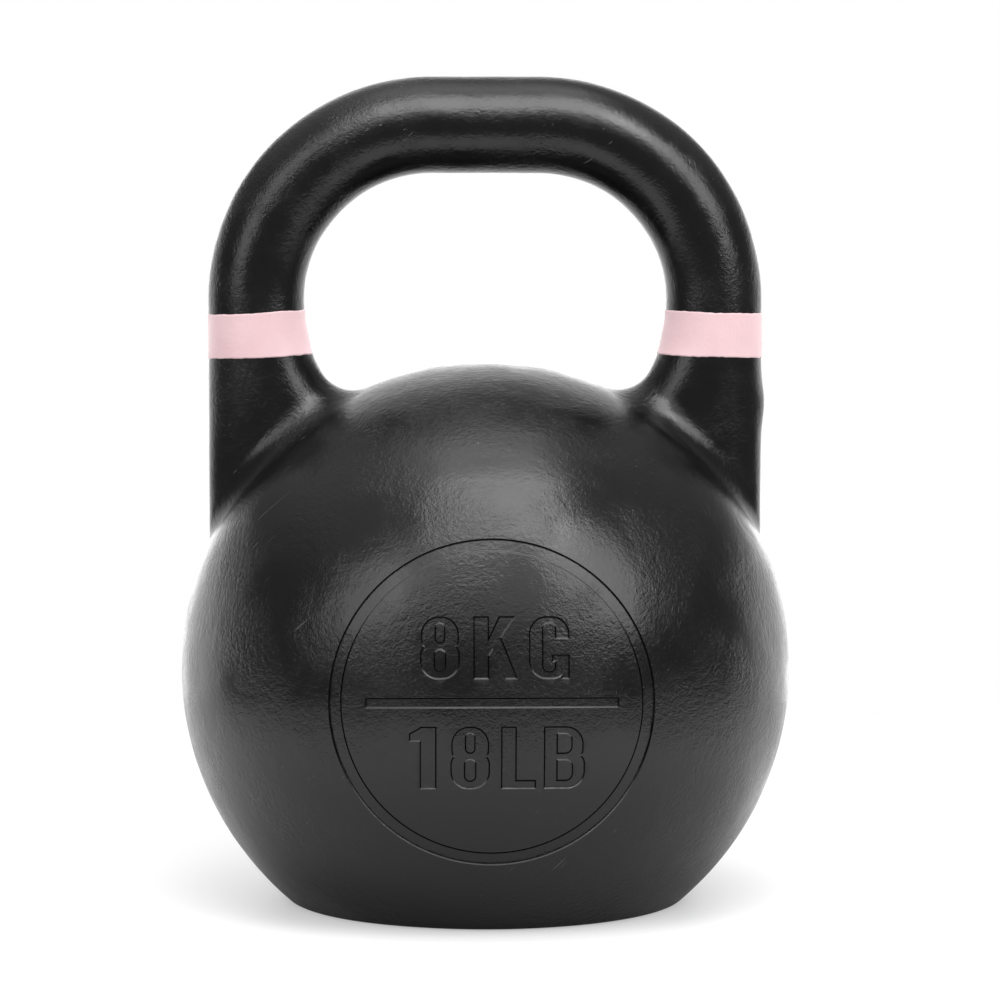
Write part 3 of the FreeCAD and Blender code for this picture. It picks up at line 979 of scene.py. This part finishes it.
def turnedGroup():
    # lathe work about the upright axis: fine rings from the distance to the axis, and broad stains
    group, start, end = newGroup("turnedMetal", {"Rings": 2600.0}, "Rings", "Stain")
    place = start["Vector"]
    flat = setUp(group, "ShaderNodeVectorMath", operation="MULTIPLY")
    feed(group, flat.inputs[0], place)
    feed(group, flat.inputs[1], (1, 1, 0))
    away = setUp(group, "ShaderNodeVectorMath", operation="LENGTH", Vector=flat.outputs[0])
    rings = setUp(group, "ShaderNodeTexNoise", noise_dimensions="1D", W=away.outputs["Value"],
                  Scale=start["Rings"], Detail=2.0)
    stain = ramp(group, noise(group, place, 60.0, Detail=4.0, Roughness=0.6), 0.42, 0.62)
    dress(group, end, Rings=rings.outputs[0], Stain=stain)
    return group


pebbledCasting = pebbleGroup()
specksAndScratches = speckGroup()
turnedMetal = turnedGroup()


def blackPaint():
    # gloss black over the casting's relief; on the mark's walls that face down a dark coat darkens the gloss
    # as painted shade, the walls that face up are painted lighter as a painted highlight, and specks and
    # scratches show a little grey
    material, tree, shader, place = newMaterial("black_paint_on_casting")
    pebbles = useGroup(tree, pebbledCasting, place, Pebble_Size=0.0016, Grain_Share=0.6)
    wear = useGroup(tree, specksAndScratches, place)
    walls = setUp(tree, "ShaderNodeAttribute", attribute_name="paintedWallLight").outputs["Fac"]
    # mark walls that face up are painted lighter grey: a painted highlight
    paintedWallHighlight = ramp(tree, walls, 0.0, 1.0, 0.0, 0.10)
    marks = maths(tree, "ADD", wear["Scratches"], wear["Specks"], use_clamp=True)
    grey = maths(tree, "MULTIPLY_ADD", marks, 0.07, paintedWallHighlight)
    # Coat_Weight lays a dark coat over the mark walls that face down: painted shade
    dress(tree, shader,
          Base_Color=blend(tree, grey, (0.003, 0.003, 0.0032), (0.55, 0.55, 0.54)),
          Roughness=ramp(tree, pebbles["Patch"], 0.0, 1.0, 0.19, 0.27),
          Normal=relief(tree, pebbles["Height"], 0.00024),
          Coat_Weight=ramp(tree, walls, 0.0, -1.0), Coat_Tint=(0.06, 0.06, 0.06, 1), Coat_IOR=1.01, IOR=1.4)
    return material


def pinkPaint():
    # brushed on over the casting: its relief shows through, thin places are a little deeper, specks are grey;
    # in reflections it is painted a neutral grey, a painted reflection, so it lends no colour to the black
    # paint beside it
    material, tree, shader, place = newMaterial("pink_paint")
    pebbles = useGroup(tree, pebbledCasting, place)
    wear = useGroup(tree, specksAndScratches, place, Cell_Size=0.009)
    paint = blend(tree, pebbles["Patch"], (0.645, 0.478, 0.497), (0.610, 0.436, 0.458))
    speckled = blend(tree, wear["Specks"], paint, (0.30, 0.24, 0.25))
    # reflected rays see the band painted grey instead of pink: a painted reflection
    mirrored = setUp(tree, "ShaderNodeLightPath").outputs["Is Glossy Ray"]
    dress(tree, shader,
          Base_Color=blend(tree, mirrored, speckled, (0.42, 0.42, 0.42)),
          Roughness=ramp(tree, pebbles["Patch"], 0.0, 1.0, 0.36, 0.50),
          Normal=relief(tree, pebbles["Height"], 0.00012), Diffuse_Roughness=1.0, IOR=1.4)
    return material


def steel(name, clean, stained, smooth, dull):
    # turned steel: rings in its relief, and stains that are darker and duller
    material, tree, shader, place = newMaterial(name)
    turning = useGroup(tree, turnedMetal, place)
    dress(tree, shader,
          Base_Color=blend(tree, turning["Stain"], clean, stained),
          Roughness=ramp(tree, turning["Stain"], 0.0, 1.0, smooth, dull),
          Normal=relief(tree, turning["Rings"], 0.00002), Metallic=1.0)
    return material


def rubber():
    # dark rubber with a pimpled surface, greyed in patches by dust
    material, tree, shader, place = newMaterial("seal_rubber")
    pebbles = useGroup(tree, pebbledCasting, place, Pebble_Size=0.0009, Grain_Size=0.0003)
    dress(tree, shader,
          Base_Color=blend(tree, pebbles["Patch"], (0.016, 0.016, 0.017), (0.045, 0.043, 0.040)),
          Roughness=0.7, Normal=relief(tree, pebbles["Height"], 0.00015))
    return material


black = blackPaint()
pink = pinkPaint()
plugSteel = steel("plug_steel", (0.36, 0.35, 0.34), (0.20, 0.18, 0.16), 0.30, 0.50)
trimSteel = steel("trim_steel", (0.55, 0.56, 0.57), (0.38, 0.37, 0.36), 0.22, 0.42)
sealRubber = rubber()

finished = [
    (makeBall(), black),
    (makeHorn("left_horn_root", "left_horn", -1), black),
    (makeHorn("right_horn_root", "right_horn", 1), black),
    (makeHandle(), black),
    (makeBand("left_band_paint", "left_colour_band", -1, band["tilt"]["left"], 21), pink),
    (makeBand("right_band_paint", "right_colour_band", 1, band["tilt"]["right"], 22), pink),
    (makePlug(), plugSteel),
    (makeSeal(), sealRubber),
    (makeDiscs(), trimSteel),
    (makeWasher(), trimSteel),
    (makeScrew(), trimSteel),
]
for piece, material in finished:
    piece.data.materials.append(material)
print(f"{len(finished)} pieces made and painted")


camera = {
    "distance": 1500.0,        # from the ball's centre
    "turn": -1.3,              # degrees to the right of straight in front
    "rise": 6.68,              # degrees above the ball's centre
    "aimSide": 5.0, "aimHeight": 137.4,
    "lens": 156.5, "sensor": 36.0,
    "clip": (0.05, 60.0),
}


def aimedFrom(turn, rise):
    # the direction towards a place so many degrees to the right of the front and above the horizon
    turn, rise = math.radians(turn), math.radians(rise)
    return Vector((math.sin(turn) * math.cos(rise), -math.cos(turn) * math.cos(rise), math.sin(rise)))


def makeCamera():
    place = (Vector(ball["centre"]) + camera["distance"] * aimedFrom(camera["turn"], camera["rise"])) * mm
    aim = Vector((footMiddle[0] + camera["aimSide"], footMiddle[1], camera["aimHeight"])) * mm
    data = bpy.data.cameras.new("camera")
    data.lens, data.sensor_width = camera["lens"], camera["sensor"]
    data.clip_start, data.clip_end = camera["clip"]
    seat = bpy.data.objects.new("camera", data)
    seat.location = place
    seat.rotation_euler = (aim - place).to_track_quat("-Z", "Y").to_euler()
    bpy.context.scene.collection.objects.link(seat)
    bpy.context.scene.camera = seat


makeCamera()


studio = {
    "floorRadius": 0.52, "floorAround": 96, "floorWhite": 0.50, "floorRoughness": 0.6,
    "floorDrop": 0.0001,       # the floor lies this much lower than the foot
    # the floor's glow as the camera sees it, and as the object does: growing outwards between two distances,
    # a painted shadow round the foot in what the object sees
    "cameraGlow": 0.41, "farGlow": 0.64, "glowFrom": 0.08, "glowTo": 0.22,
    # the glow inside the foot's ring, which lights the base for a look from below, and how far out it reaches
    "underGlow": 0.45, "underReach": 0.050, "underFade": 0.004,
    "backdrop": 1.0,           # how white the camera sees the surroundings
    "room": 0.24,              # light from every way
    # walls far round the set: from and to in degrees to the right of the front and above the horizon, how
    # soft their edges are each way, and how bright they are
    "walls": [
        ((62, 298), (66, 100), 10, 12, 1.2),       # above the back
        ((-44, 48), (22, 60), 10, 16, 1.6),        # in front
        ((160, 200), (-10, 32), 8, 20, 1.2),       # straight behind
        ((118, 242), (-90, 11), 14, 12, 1.4),      # the sweep low down behind
        ((-360, 360), (35, 100), 5, 30, 0.25),     # all round above
        ((-360, 0), (35, 100), 5, 30, 0.25),       # the left of it again
    ],
    # soft boxes close by: turn and rise of their middles, distance, width, height, brightness and roll
    "boxes": [
        ("top_box", 9, 62.5, 0.584, 0.42, 0.28, 6.6, 0),
        ("over_box", 9, 83, 0.62, 0.32, 0.22, 1.6, 0),
        ("left_strip", -47, 25, 0.80, 0.36, 0.56, 2.9, -34),
        ("right_strip", 46, 35, 0.80, 0.40, 0.64, 4.6, 22),
    ],
}


def makeFloor():
    # a round floor that is clear from below, so that the base can be seen
    turn = fullTurn(studio["floorAround"])
    rim = roundAxis(studio["floorRadius"] / mm, turn, -studio["floorDrop"] / mm) * mm
    mesh = bpy.data.meshes.new("floor")
    mesh.from_pydata(rim.tolist(), [], [list(range(len(rim)))])
    floor = bpy.data.objects.new("floor", mesh)
    bpy.context.scene.collection.objects.link(floor)
    material, tree, shader, place = newMaterial("floor_white")
    fromMiddle = setUp(tree, "ShaderNodeVectorMath", operation="LENGTH", Vector=place).outputs["Value"]
    # dim near the foot and brighter farther out: a painted shadow round the foot, seen only in light and
    # reflections
    glow = ramp(tree, fromMiddle, studio["glowFrom"], studio["glowTo"], high=studio["farGlow"])
    under = ramp(tree, fromMiddle, studio["underReach"], studio["underReach"] - studio["underFade"],
                 high=studio["underGlow"])
    backs = setUp(tree, "ShaderNodeNewGeometry").outputs["Backfacing"]
    white = studio["floorWhite"]
    dress(tree, shader, Base_Color=(white, white, white, 1), Roughness=studio["floorRoughness"],
          Emission_Color=forCamera(tree, maths(tree, "MAXIMUM", glow, under), studio["cameraGlow"]),
          Emission_Strength=1.0, Alpha=maths(tree, "SUBTRACT", 1.0, backs))
    mesh.materials.append(material)


makeFloor()


def window(tree, value, low, high, soft):
    # 1 while a value lies between low and high, falling smoothly to 0 over a soft edge on either side
    into = ramp(tree, value, low - soft / 2, low + soft / 2, interpolation_type="SMOOTHSTEP")
    outOf = ramp(tree, value, high + soft / 2, high - soft / 2, interpolation_type="SMOOTHSTEP")
    return maths(tree, "MULTIPLY", into, outOf)


def makeWorld():
    # the studio round the set: walls by direction, and an even white where the camera looks past the object
    world = bpy.data.worlds.new("studio")
    bpy.context.scene.world = world
    world.use_nodes = True
    tree = world.node_tree
    place = setUp(tree, "ShaderNodeTexCoord").outputs["Generated"]
    split = setUp(tree, "ShaderNodeSeparateXYZ", Vector=place).outputs
    front = maths(tree, "MULTIPLY", split["Y"], -1.0)
    turn = maths(tree, "DEGREES", maths(tree, "ARCTAN2", split["X"], front))
    rise = maths(tree, "DEGREES", maths(tree, "ARCSINE", split["Z"]))
    total = studio["room"]
    for (left, right), (low, high), softTurn, softRise, brightness in studio["walls"]:
        for wrap in (0, 360) if left > 0 else (0,):          # walls behind are met from both sides
            across = window(tree, turn, left - wrap, right - wrap, softTurn)
            inside = maths(tree, "MULTIPLY", across, window(tree, rise, low, high, softRise))
            total = maths(tree, "MULTIPLY_ADD", inside, brightness, total)
    seen = forCamera(tree, total, studio["backdrop"])
    dress(tree, tree.nodes["Background"], Color=(1, 1, 1, 1), Strength=seen)


def makeBox(name, turn, rise, distance, width, height, brightness, roll):
    # an area light on a sphere round the ball's centre, facing it; its power follows from its brightness, and
    # the rolled ones are ellipses
    away = aimedFrom(turn, rise)
    data = bpy.data.lights.new(name, "AREA")
    data.shape = "ELLIPSE" if roll else "RECTANGLE"
    data.size, data.size_y = width, height
    area = width * height * (math.pi / 4 if roll else 1)
    data.energy = brightness * math.pi * area
    lamp = bpy.data.objects.new(name, data)
    lamp.location = Vector(ball["centre"]) * mm + distance * away
    tilt = Quaternion((0, 0, 1), math.radians(roll))
    lamp.rotation_euler = (away.to_track_quat("Z", "Y") @ tilt).to_euler()
    lamp.visible_camera = False
    bpy.context.scene.collection.objects.link(lamp)


makeWorld()
for box in studio["boxes"]:
    makeBox(*box)
bpy.context.scene.view_settings.view_transform = "Standard"
print("camera, floor, world and lights set up")
